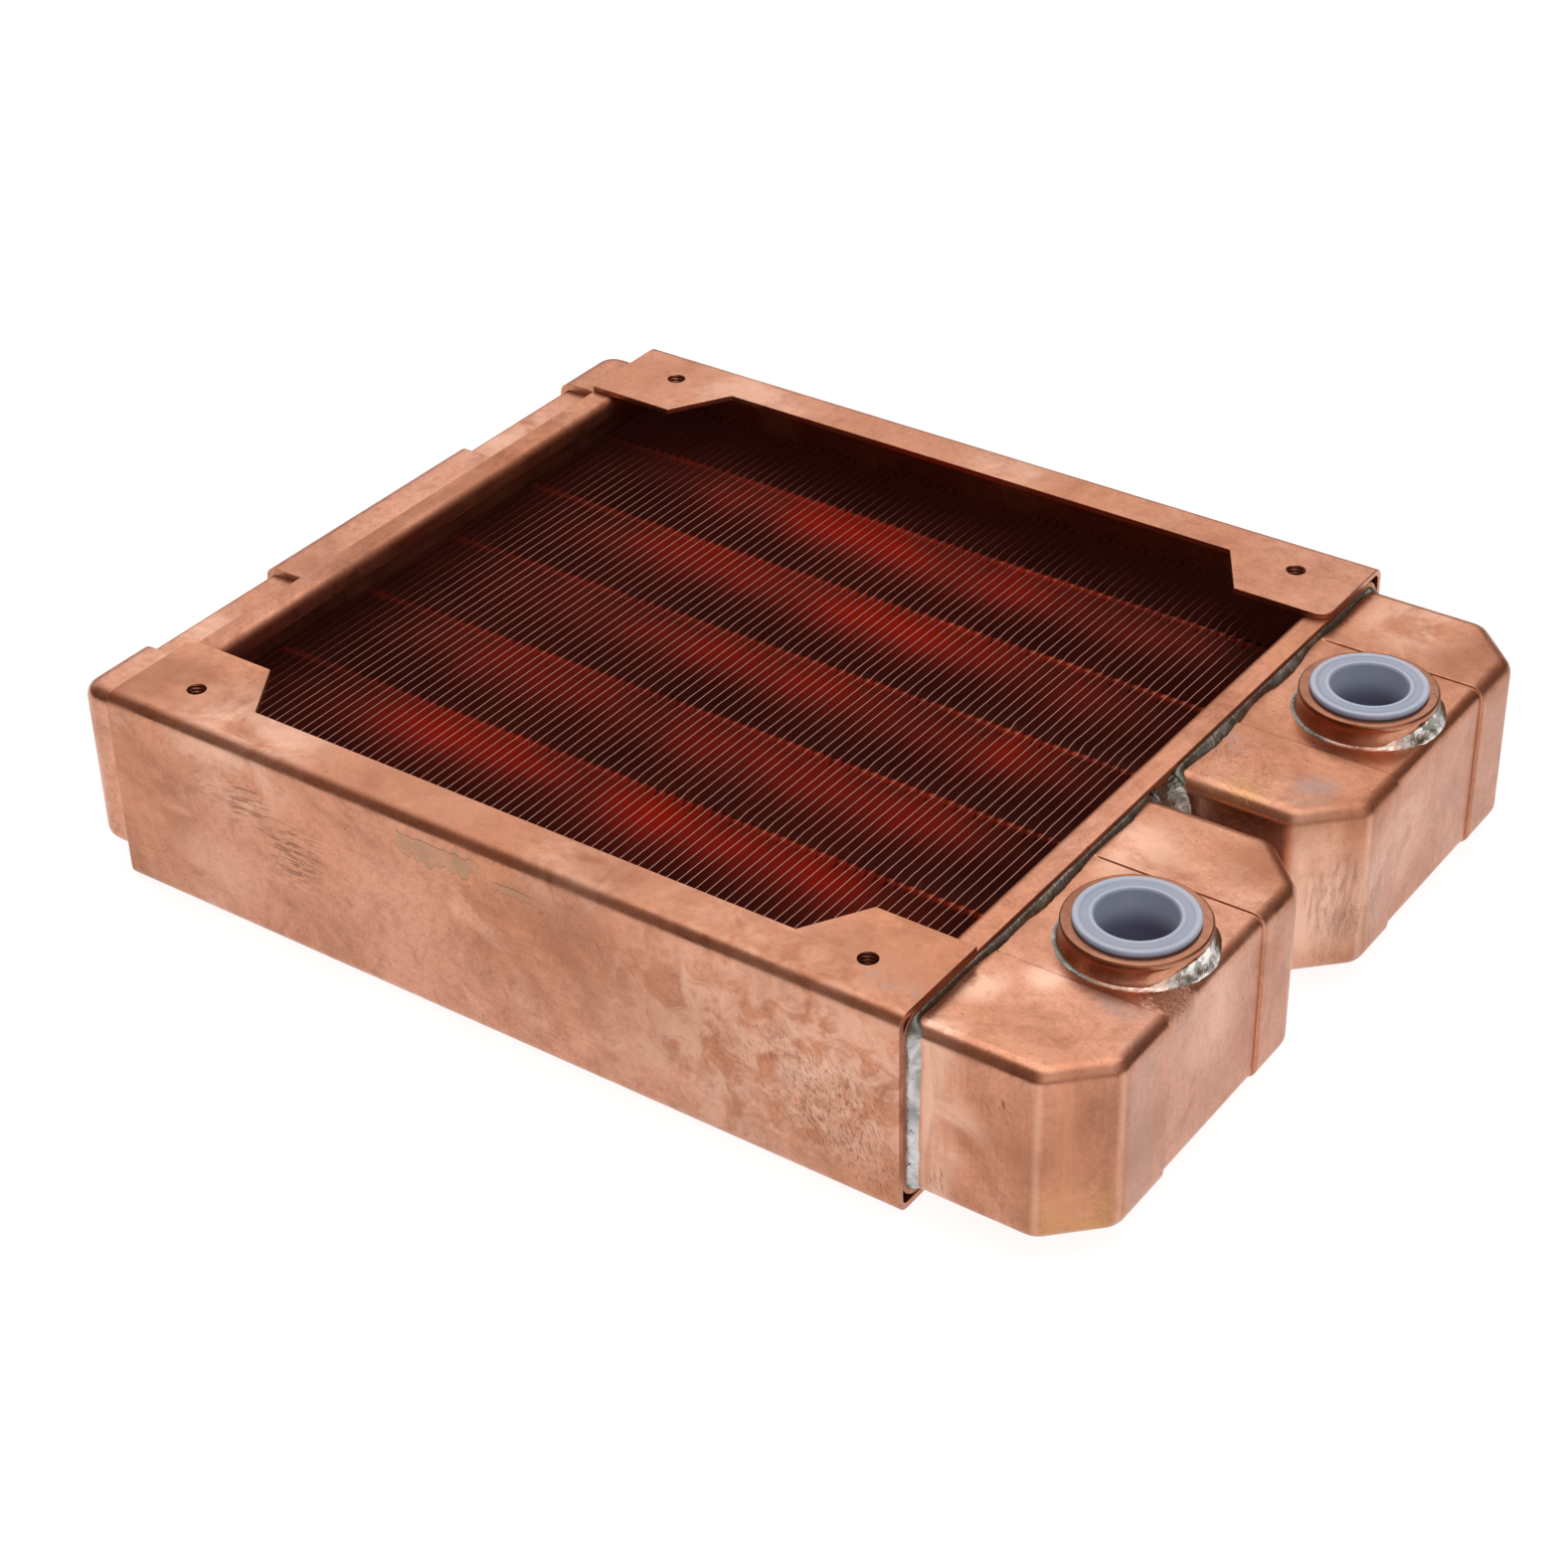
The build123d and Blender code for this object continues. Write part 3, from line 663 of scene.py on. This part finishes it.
def capShape(low, high, shape, bands):
    # an upright cut (mouth line, top, edge round, wall, edge round, bottom) carried along the plan outline,
    # then sunk by the band depth wherever y lies within a band, in step with the surface normal
    t = tank
    mouth, top, bottom, r = [t[key] for key in ("mouth", "top", "bottom", "edgeRound")]
    big, c = shape["corner"], shape["chamfer"]
    end = t["rimX"] + shape["depth"]
    plan = [(end - c, low), (end, low + c), (end, high - c), (end - c, high)] if c else [(end, low), (end, high)]
    shares = np.unique(np.concatenate([np.linspace(0, 1, 13), [(t["bandStart"] - mouth) / (end - mouth),
                                       (t["bandStart"] + t["bandRun"] - mouth) / (end - mouth)]]))
    base, normal, kinds = capPath([(mouth - 9, low)] + plan + [(mouth - 9, high)], shares, big, bands)
    ringXy = base + normal * (big - r)  # where the flat top meets the edge round
    columns = []

    def addColumn(xy, z, sideways, upwards):
        columns.append((xy, np.full(len(xy), z), sideways, upwards))

    def addFlat(v, z, upwards):
        addColumn(np.stack([mouth + (ringXy[:, 0] - mouth) * v, ringXy[:, 1]], 1), z, 0.0, upwards)

    rounds = np.linspace(0, np.pi / 2, 7)
    for v in shares:
        addFlat(v, top, 1.0)
    for a in rounds[1:]:
        addColumn(ringXy + normal * r * math.sin(a), top - r * (1 - math.cos(a)), math.sin(a), math.cos(a))
    for v in np.linspace(0, 1, 6)[1:-1]:
        addColumn(ringXy + normal * r, top - r + (bottom + r - (top - r)) * v, 1.0, 0.0)
    for a in rounds[::-1][:-1]:
        addColumn(ringXy + normal * r * math.sin(a), bottom + r * (1 - math.cos(a)), math.sin(a), -math.cos(a))
    for v in shares[::-1]:
        addFlat(v, bottom, -1.0)
    xy, z, sideways, upwards = [np.stack([column[k] for column in columns], 1) if k < 2 else
                                np.array([column[k] for column in columns])[None, :] for k in range(4)]
    y = xy[..., 1]
    sunk = np.zeros_like(y)
    for middle, width in bands:
        sunk = np.maximum(sunk, smoothStep((width / 2 - np.abs(y - middle)) / t["stepWidth"] + 0.5))
    sunk = sunk * smoothStep((xy[..., 0] - t["bandStart"]) / t["bandRun"])
    x = xy[..., 0] - sunk * shape["endSink"] * sideways * (normal[:, None, 0] > 0.99)
    points = np.stack([x, y, z - sunk * shape["bandDepth"] * upwards], -1)
    faces = gridFaces(len(base), len(columns))
    flatCount = len(shares) - 1
    row, column = faces[:, 0] // len(columns), faces[:, 0] % len(columns)
    onSide = (kinds[row] == 0) | (kinds[np.minimum(row + 1, len(kinds) - 1)] == 0)
    onFlat = (column < flatCount) | (column >= len(columns) - 1 - flatCount)
    return points.reshape(-1, 3), faces[~(onSide & onFlat)]


def addTank(name, node, low, high, shape, bands, turned, material):
    # the cap's outside, with its wall grown inwards
    points, faces = capShape(low, high, shape, bands)
    if turned:
        points = points * [-1, -1, 1]
    piece = addPiece(name, points, faces, [node], material, "tank_copper", 40, 0.004)
    middle = Vector((0, 0, header["midHeight"] * mm))
    if sum(f.normal.dot(f.center - middle) for f in piece.data.polygons) < 0:
        piece.data.flip_normals()
    wall = piece.modifiers.new("wall", "SOLIDIFY")
    wall.thickness = tank["wall"] * mm
    wall.offset = -1
    bakeModifiers(piece)
    flatterNormals(piece, 40)
    return piece


print("tanks")
port = {"x": portPlaces[1][0], "y": portPlaces[1][1], "bandTop": 26.65, "height": 3.2, "radius": 9.05, "bore": 5.9}
addTank("drawn_tank_return", "return_tank", -tank["half"], tank["half"], tank["return"], tank["return"]["bands"], True,
        returnTankCopper)
lobe = tank["port"]["lobeGap"] / 2
for side, low, high, y in (("front", -tank["half"], -lobe, -port["y"]), ("rear", lobe, tank["half"], port["y"])):
    piece = addTank(f"drawn_tank_{side}", f"{side}_port_tank", low, high, tank["port"], tank["port"]["bands"][side],
                    False, portTankCopper)
    cutPoints, cutFaces = lathe([(0, -3), (port["bore"], -3), (port["bore"], 3), (0, 3)],
                                (port["x"], y, port["bandTop"]), 64, False)
    cutter = addPiece(f"port_cutter_{side}", cutPoints, cutFaces)
    hole = piece.modifiers.new("portHole", "BOOLEAN")
    hole.object = cutter
    hole.solver = "EXACT"
    bakeModifiers(piece)
    bpy.data.objects.remove(cutter)
    flatterNormals(piece, 40)


# port bosses and their plugs
boss = {"waist": 0.16, "foot": 0.52, "curve": 1.8, "lipHeight": 0.95, "lipRound": 0.30, "chamfer": 0.4}
plug = {"flange": 7.65, "thick": 0.7, "edge": 0.3, "body": 5.75, "length": 8.6, "hollow": 5.0, "floor": 0.9,
        "rimRound": 0.40, "floorRound": 0.75, "groove": 0.08}
# deep is painted shade down in the hollow, rim a painted highlight on the lip, glow a painted glow; cloud is the
# plastic's own
plastic = {"deep": (0.18, 0.18, 0.26), "top": (0.29, 0.345, 0.45), "cloud": (0.40, 0.39, 0.48),
           "rim": (0.50, 0.53, 0.64), "glow": 0.13}


def arc(centre, radius, start, stop, steps):
    a = np.radians(np.linspace(start, stop, steps))
    return [(centre[0] + radius * math.cos(v), centre[1] + radius * math.sin(v)) for v in a]


def bossProfile():
    # bore, hollow foot, lip, rounded upper edge and chamfered mouth
    R, H, bore, b = port["radius"], port["height"], port["bore"], boss
    foot = [(R - b["waist"] + b["foot"] * (1 - share) ** b["curve"], (H - b["lipHeight"]) * share)
            for share in np.linspace(0, 1, 9)]
    lip = [(R - 0.12, H - 0.84), (R, H - 0.76)] + arc((R - b["lipRound"], H - b["lipRound"]), b["lipRound"], 0, 80, 6)
    return [(bore, 0)] + foot + lip + [(R - 0.40, H), (bore + 0.5, H), (bore, H - b["chamfer"])]


def plugProfile():
    # a closed cup with a flange: outside from the bottom up, a shallow groove in the flange, then inside down
    p = plug
    flange, thick, body, hollow, bottom, edge, rim, low = [
        p[key] for key in ("flange", "thick", "body", "hollow", "length", "edge", "rimRound", "floorRound")]
    level = -bottom + p["floor"]
    cup = [(0, -bottom), (body - 0.4, -bottom), (body, -bottom + 0.4), (body, 0.0), (flange - 0.1, 0.0)]
    cup += arc((flange - edge, thick - edge), edge, -40, 90, 8)
    cup += [(flange - 0.75, thick), (flange - 0.9, thick - p["groove"]), (hollow + 0.75, thick - p["groove"]),
            (hollow + 0.6, thick - 0.03)]
    cup += arc((hollow + rim, thick - rim), rim, 80, 180, 7) + [(hollow - 0.12, level + 0.8)]
    return cup + arc((hollow - 0.9, level + low), low, 0, -90, 7) + [(0, level)]


bossParts, plugParts = [], []
for y in (-port["y"], port["y"]):
    bossParts.append(lathe(bossProfile(), (port["x"], y, port["bandTop"]), 128))
    plugParts.append(lathe(plugProfile(), (port["x"], y, port["bandTop"] + port["height"]), 96, False))
addPiece("turned_bosses", *joinParts(bossParts), ["port_bosses"], bossCopper, "boss_copper", 32)

f = Finish("milky_plastic")
depthShade = f.ramp(f.axis("Z"), 0.0248, 0.0286)
milky = f.blend(depthShade, plastic["deep"], plastic["top"])
cloudy = f.ramp(f.noise(160, 3), 0.35, 0.7, 0.0, 0.35)
milky = f.blend(f.product(cloudy, depthShade), milky, plastic["cloud"])
# painted highlight on the rim lip
rim = f.ramp(f.axis("Z"), 0.03048, 0.030535, 0.0, 0.7)
f.shade({"Base Color": f.blend(rim, milky, plastic["rim"]), "Roughness": 0.22,
         "Emission Color": milky, "Emission Strength": f.product(depthShade, plastic["glow"]),  # painted glow, standing for light seen through the wall
         "Subsurface Weight": 0.35, "Subsurface Scale": 0.002, "Subsurface Radius": (0.8, 0.9, 1.0),
         "Normal": f.bump(f.noise(500, 3), 0.08, 0.0002)})
addPiece("moulded_plugs", *joinParts(plugParts), ["port_plugs"], f.material, "plug_plastic", 50)
print("bosses and plugs")


# solder
solder = {"outer": 0.50, "reach": 0.22, "height": 0.42, "rise": 0.20, "waves": 9, "sideReach": 0.10,
          "sideHeight": 1.25, "dent": 0.07, "below": 1.5, "under": 0.45}
# each seam: place, from y, to y, side, seed, and where its bead bulges (y, width, how much more)
seams = [("return", -tank["half"], tank["half"], -1, 3, []),
         ("front", -tank["half"], -lobe, 1, 11, [(-27, 6, 0.55), (-9, 3, 0.5), (-40, 3, 0.4)]),
         ("rear", lobe, tank["half"], 1, 23, [(13, 6, 0.95), (31, 5, 0.75), (46, 3, 0.4)])]


def seamShape(low, high, side, seed, spread):
    # a bead's cut (distance out from the tank wall, x) carried round the tank, its width and height wandering
    s, t = solder, tank
    corners = [(low, t["bottom"]), (high, t["bottom"]), (high, t["top"]), (low, t["top"])]
    base, normal = roundedPath(corners, t["edgeRound"], 110)
    n = len(base)
    upright = smoothStep(np.abs(normal[:, 0]) * 1.5 - 0.3)
    upperTaper = smoothStep((base[:, 1] - 1.0) / 22)
    wide = s["outer"] + s["reach"] * (0.5 + 0.5 * wander(n, seed, s["waves"])) * (1 - 0.7 * upright)
    wide = wide + s["sideReach"] * upright
    tall = s["height"] + s["rise"] * wander(n, seed + 1, s["waves"]) * (1 - 0.5 * upright)
    tall = tall + s["sideHeight"] * upright * (0.75 + 0.25 * upperTaper)
    for middle, width, more in spread:
        bulge = np.exp(-((base[:, 0] * side - middle) / width) ** 2) * (normal[:, 1] > 0.5)
        tall = tall + more * bulge * (1 + 0.45 * wander(n, seed + 3, 30))
    dent = s["dent"] * wander(n, seed + 2, 40) * (1 - upright)
    cut = [(wide, -1.0), (wide * 0.98, 0.03), (wide * 0.72 + dent, 0.18 + 0.25 * tall),
           (wide * 0.38 - dent, 0.10 + 0.52 * tall), (0.02, 0.15 + 0.85 * tall), (-s["under"], 0.1 + 1.0 * tall),
           (-s["below"], 0.2 + tall * 0.9), (-s["below"], -1.0)]
    out, up = [np.stack([np.broadcast_to(point[k], n) for point in cut], 1) for k in (0, 1)]
    yz = base[:, None, :] + normal[:, None, :] * (t["edgeRound"] + out)[..., None]
    points = np.stack([(t["rimX"] + up) * side, yz[..., 0] * side, yz[..., 1]], -1)
    return points, gridFaces(n, len(cut), True, True)


for place, *sizes in seams:
    addPiece(f"{place}_seam_bead", *seamShape(*sizes), [f"{place}_seam_solder"], tinSolder, "solder", 60)


def notchShape():
    # an upright path from the rim over the top and down the notch, hollowed across by a cosine and roughened
    path = np.array([(61.0, 27.2), (61.8, 27.0), (62.6, 26.5), (63.4, 25.7), (64.1, 24.6), (64.6, 23.2), (64.9, 21),
                     (64.9, 14), (64.8, 7), (64.7, 4), (64.3, 2.6), (63.2, 2.25), (61.0, 2.25)])
    steps = np.linspace(0, len(path) - 1, 90)
    along = np.stack([np.interp(steps, np.arange(len(path)), path[:, k]) for k in (0, 1)], 1)
    across = np.linspace(-1, 1, 15)
    hollow = np.cos(across * np.pi / 2)[None, :]
    rng = np.random.default_rng(5)
    rough = rng.normal(0, 0.06, (len(steps), len(across)))
    front = smoothStep((along[:, 0] - 61.2) / 2.5)[:, None]
    x = along[:, :1] - front * hollow * 1.3 + rough * front
    z = along[:, 1:] - 0.5 * hollow * smoothStep((along[:, 0] - 61.2) / 1.5)[:, None] * (along[:, 1:] > 20) + rough
    y = np.broadcast_to(across[None, :] * (lobe + 0.25), x.shape)
    points = np.stack([x, y, z], -1)
    return points, gridFaces(len(steps), len(across))


notch = addPiece("notch_solder", *notchShape(), ["tank_gap_solder"], tinSolder, "solder", 70)
thick = notch.modifiers.new("body", "SOLIDIFY")
thick.thickness = 0.4 * mm
thick.offset = -1
bakeModifiers(notch)


bead = {"wide": 0.76, "wider": 0.24, "tall": 0.50, "dip": 0.22, "dipTurn": 5.3, "climb": 1.85, "ragged": 0.09}


def bossBeadShape(y, seed):
    # a fillet's cut (radius, height) carried round the boss, higher and wider on the side towards the tank's end
    n, b, R = 180, bead, port["radius"]
    turn = np.linspace(0, 2 * np.pi, n, endpoint=False)
    swell = 0.5 + 0.5 * np.cos(turn - 0.1)
    wide = b["wide"] + b["wider"] * swell ** 3 + b["ragged"] * wander(n, seed, 12)
    tall = b["tall"] - b["dip"] * np.exp(-((turn - b["dipTurn"]) / 0.55) ** 2) + b["climb"] * swell ** 7
    tall = tall + b["ragged"] * wander(n, seed + 1, 12) * (0.4 + swell)
    cut = [(-0.3, -0.25), (wide, -0.25), (wide * 0.97, 0.05), (wide * 0.6, 0.22 * tall), (wide * 0.28, 0.5 * tall),
           (0.06, tall), (-0.3, tall + 0.05)]
    out, height = [np.stack([np.broadcast_to(point[k], n) for point in cut], 1) for k in (0, 1)]
    turn, radius = turn[:, None], R + out
    points = np.stack([port["x"] + radius * np.cos(turn), y + radius * np.sin(turn), port["bandTop"] + height], -1)
    return points, gridFaces(n, len(cut), True, True)


beads = joinParts([bossBeadShape(-port["y"], 31), bossBeadShape(port["y"], 43)])
addPiece("boss_beads", *beads, ["boss_solder"], tinSolder, "solder", 60)
print("solder")


# core: flat tubes and the stack of thin plates
core = {"tubes": 6, "pitch": 18.4, "thick": 2.0, "low": 9.0, "high": 20.1, "halfLength": 62.4,
        "fins": 80, "finPitch": 1.471, "firstFin": -59.9, "finSheet": 0.10, "finLow": 8.2, "finHigh": 20.9,
        "finHalf": 58.95, "shortHalf": 55.85, "wave": 0.12, "kink": 0.13}
tubeYs = (np.arange(core["tubes"]) - (core["tubes"] - 1) / 2) * core["pitch"]


def tubeShape(y):
    # a flattened ring, its two edges half round, carried along x, with a wall
    c = core
    r = c["thick"] / 2
    a = np.linspace(0, np.pi, 9)
    top = np.stack([r * np.cos(a), c["high"] - r + r * np.sin(a)], 1)
    bottom = np.stack([-r * np.cos(a), c["low"] + r - r * np.sin(a)], 1)
    ring = np.concatenate([top, bottom])
    middle = np.array([0, (c["low"] + c["high"]) / 2])
    inner = middle + (ring - middle) * [0.65, 0.94]
    loops = [(-c["halfLength"], ring), (c["halfLength"], ring), (c["halfLength"], inner), (-c["halfLength"], inner)]
    points = np.stack([np.stack([np.full(len(l), x), y + l[:, 0], l[:, 1]], 1) for x, l in loops])
    return points.reshape(-1, 3), gridFaces(4, len(ring), True, True)


def finShapes():
    # each plate is a thin six-point cut carried along y; it waves a little and kinks beside each tube
    c = core
    rng = np.random.default_rng(12)
    near = np.concatenate([tubeYs[:, None] + d for d in (-2.6, -1.5, -0.9, 0.0, 0.9, 1.5, 2.6)]).ravel()
    share = np.unique(np.concatenate([np.round(near, 3), np.linspace(-57, 57, 13)]))
    share = share / c["finHalf"]
    share = np.concatenate([[-1], share[(share > -0.995) & (share < 0.995)], [1]])
    index = np.arange(c["fins"])
    x0 = c["firstFin"] + index * c["finPitch"]
    halfY = np.where(x0 < -57.3, c["shortHalf"], c["finHalf"])
    y = share[None, :] * halfY[:, None]
    waves, phase, size = [rng.uniform(low, high, (c["fins"], 1)) for low, high in ((0, 2), (0, 6.3), (0.2, 1.0))]
    wave = c["wave"] * np.sin(y / 58 * (2 + waves) * np.pi / 2 + phase) * size
    shift = np.zeros_like(y)
    right = smoothStep((x0 + 45) / 80)[:, None]
    for tubeY in tubeYs:
        size = c["kink"] * (0.25 + right) * (0.6 + 0.5 * rng.normal(size=(c["fins"], 1)))
        shift += size * (np.exp(-((y - tubeY + 1.5) / 0.9) ** 2) - 0.6 * np.exp(-((y - tubeY - 1.5) / 1.1) ** 2))
    heights = np.array([c["finLow"], 15.5, c["finHigh"], c["finHigh"], 15.5, c["finLow"]])
    faceSide = np.array([-1, -1, -1, 1, 1, 1]) * c["finSheet"] / 2
    strength = np.array([0.5, 0.2, 1, 1, 0.2, 0.5])
    x = (x0[:, None] + wave)[..., None] + shift[..., None] * strength + faceSide
    points = np.stack(np.broadcast_arrays(x, y[..., None], heights[None, None, :]), -1)
    ring = gridFaces(len(share), 6, False, True)
    caps = np.array([[0, 1, 4, 5], [1, 2, 3, 4]])
    one = np.concatenate([ring, caps[:, ::-1], caps + 6 * (len(share) - 1)])
    faces = (one[None] + (np.arange(c["fins"]) * 6 * len(share))[:, None, None]).reshape(-1, 4)
    return points.reshape(-1, 3), faces


# the tubes are painted a dark red as painted shade deep between the plates, with a faint painted glow
f = Finish("tube_copper")
tone = f.blend(f.ramp(f.noise(90, 2), 0.35, 0.65), (0.24, 0.045, 0.018), (0.11, 0.020, 0.010))
f.shade({"Base Color": tone, "Emission Color": tone, "Emission Strength": 0.015, "Metallic": 1.0, "Roughness": 0.38})
for number, y in enumerate(tubeYs, start=1):
    addPiece(f"flattened_tube_{number}", *tubeShape(y), [f"flat_tube_{number}"], f.material, "tube_copper", 50)

# plate sides painted a dark red as painted shade deep between the plates, their top and bottom edges lighter; lit, the
# two glow colours, glow and least make a painted glow
plates = {"cool": (0.34, 0.085, 0.052), "warm": (0.46, 0.125, 0.075), "lit": (0.70, 0.10, 0.04),
          "edge": (0.38, 0.20, 0.16), "coolGlow": (0.50, 0.13, 0.10), "redGlow": (0.70, 0.045, 0.018),
          "glow": 0.11, "least": 0.012}
f = Finish("fin_copper")
glow = 0.0
yAxis, xAxis = f.axis("Y"), f.axis("X")
for tubeY in tubeYs:  # painted glow, where light gathers in front of each tube
    edge = (tubeY - 1.0) * mm
    behind = f.ramp(yAxis, edge + 0.0002, edge + 0.0012, 1.0, 0.0)
    ahead = f.product(f.ramp(yAxis, edge - 0.015, edge - 0.0030), behind)
    glow = f.calc("ADD", ahead, glow)
patchy = f.ramp(f.noise(45, 2, 0.4), 0.3, 0.7, 0.35, 1.0)
# the painted glow fades out towards both ends of the stack
inside = f.product(f.ramp(xAxis, -0.060, -0.022), f.ramp(xAxis, 0.030, 0.058, 1.0, 0.0))
glow = f.product(f.calc("POWER", glow, 1.6), inside, patchy)
plate = f.blend(f.ramp(f.noise(60, 2), 0.35, 0.65), plates["cool"], plates["warm"])
plate = f.blend(glow, plate, plates["lit"])
upright = f.axis("Z", f.add("ShaderNodeNewGeometry", {}).outputs["Normal"])
edgeFace = f.ramp(f.calc("ABSOLUTE", upright), 0.6, 0.8)
light = f.blend(glow, plates["coolGlow"], plates["redGlow"])
f.shade({"Base Color": f.blend(edgeFace, plate, plates["edge"]), "Metallic": 1.0, "Roughness": 0.42,
         "Emission Color": f.blend(edgeFace, light, (0.0, 0.0, 0.0)),
         "Emission Strength": f.calc("ADD", f.product(glow, plates["glow"]), plates["least"])})
addPiece("thin_plates", *finShapes(), ["fin_stack"], f.material, "fin_copper", 40, 0.0005)
print("tubes and plates")


# floor, light and camera
studio = {"floor": 12.0, "tones": ((0.28, 0.28, 0.28), (0.30, 0.30, 0.30)), "glow": 0.88,
          "dark": (0.05, 0.36), "bright": (0.52, 1.0), "cards": [(236, 24), (48, 10)], "cardRun": (0.42, 0.88),
          "cardLevel": 0.27, "warm": (1.0, 0.55, 0.36), "top": 1.5, "left": 0.8}

f = Finish("pale_floor")
f.shade({"Base Color": f.blend(f.ramp(f.noise(3, 2), 0.3, 0.7), *studio["tones"]), "Roughness": 0.9,
         "Emission Color": (1, 1, 1, 1), "Emission Strength": studio["glow"], "Specular IOR Level": 0.0})
size = studio["floor"]
floorMesh = bpy.data.meshes.new("pale_floor")
floorMesh.from_pydata([(-size, -size, 0), (size, -size, 0), (size, size, 0), (-size, size, 0)], [], [(0, 1, 2, 3)])
floorMesh.materials.append(f.material)
floor = bpy.data.objects.new("pale_floor", floorMesh)
scene.collection.objects.link(floor)

world = bpy.data.worlds.new("soft_studio")
scene.world = world
world.use_nodes = True
sky = Nodes(world.node_tree, "Generated")
(darkZ, darkLevel), (brightZ, brightLevel) = studio["dark"], studio["bright"]
level = sky.ramp(sky.axis("Z"), darkZ, brightZ, darkLevel, brightLevel)  # dark walls low down, a bright ceiling above
for turn, lift in studio["cards"]:
    # a dark card: how near a direction is to the card's own, as a dot product
    turn, lift = math.radians(turn), math.radians(lift)
    card = (math.cos(turn) * math.cos(lift), math.sin(turn) * math.cos(lift), math.sin(lift))
    towards = sky.vector("DOT_PRODUCT", sky.place, card)["Value"]
    level = sky.product(sky.ramp(towards, *studio["cardRun"], 1.0, studio["cardLevel"]), level)
warm = sky.blend(level, studio["warm"], (1, 1, 1))  # the darker the direction, the warmer it is
sky.fill(world.node_tree.nodes["Background"], {"Strength": level, "Color": warm})


def softbox(name, place, aim, size, power):
    light = bpy.data.lights.new(name, "AREA")
    light.shape = "RECTANGLE"
    light.size, light.size_y = size
    light.energy = power
    lamp = bpy.data.objects.new(name, light)
    lamp.location = place
    lamp.rotation_euler = (Vector(aim) - Vector(place)).to_track_quat("-Z", "Y").to_euler()
    scene.collection.objects.link(lamp)


softbox("overhead", (0.0, 0.15, 0.75), (0, 0, 0), (0.8, 0.6), studio["top"])
softbox("behind_left", (-0.55, 0.75, 0.75), (0, 0, 0.01), (0.9, 0.5), studio["left"])

view = {"lens": 75.354, "place": (0.220231, -0.302001, 0.256641), "forward": (-0.482993, 0.673086, -0.560065),
        "right": (0.819701, 0.572480, -0.018893)}
forward, right = Vector(view["forward"]).normalized(), Vector(view["right"]).normalized()
up = right.cross(forward)
lens = bpy.data.cameras.new("photo_view")
lens.lens = view["lens"]
lens.sensor_width, lens.clip_start, lens.clip_end = 36, 0.01, 20
camera = bpy.data.objects.new("photo_view", lens)
camera.matrix_world = Matrix([(right[k], up[k], -forward[k], view["place"][k]) for k in range(3)] + [(0, 0, 0, 1)])
scene.collection.objects.link(camera)
scene.camera = camera
scene.view_settings.view_transform = "Standard"
print("floor, light and camera")
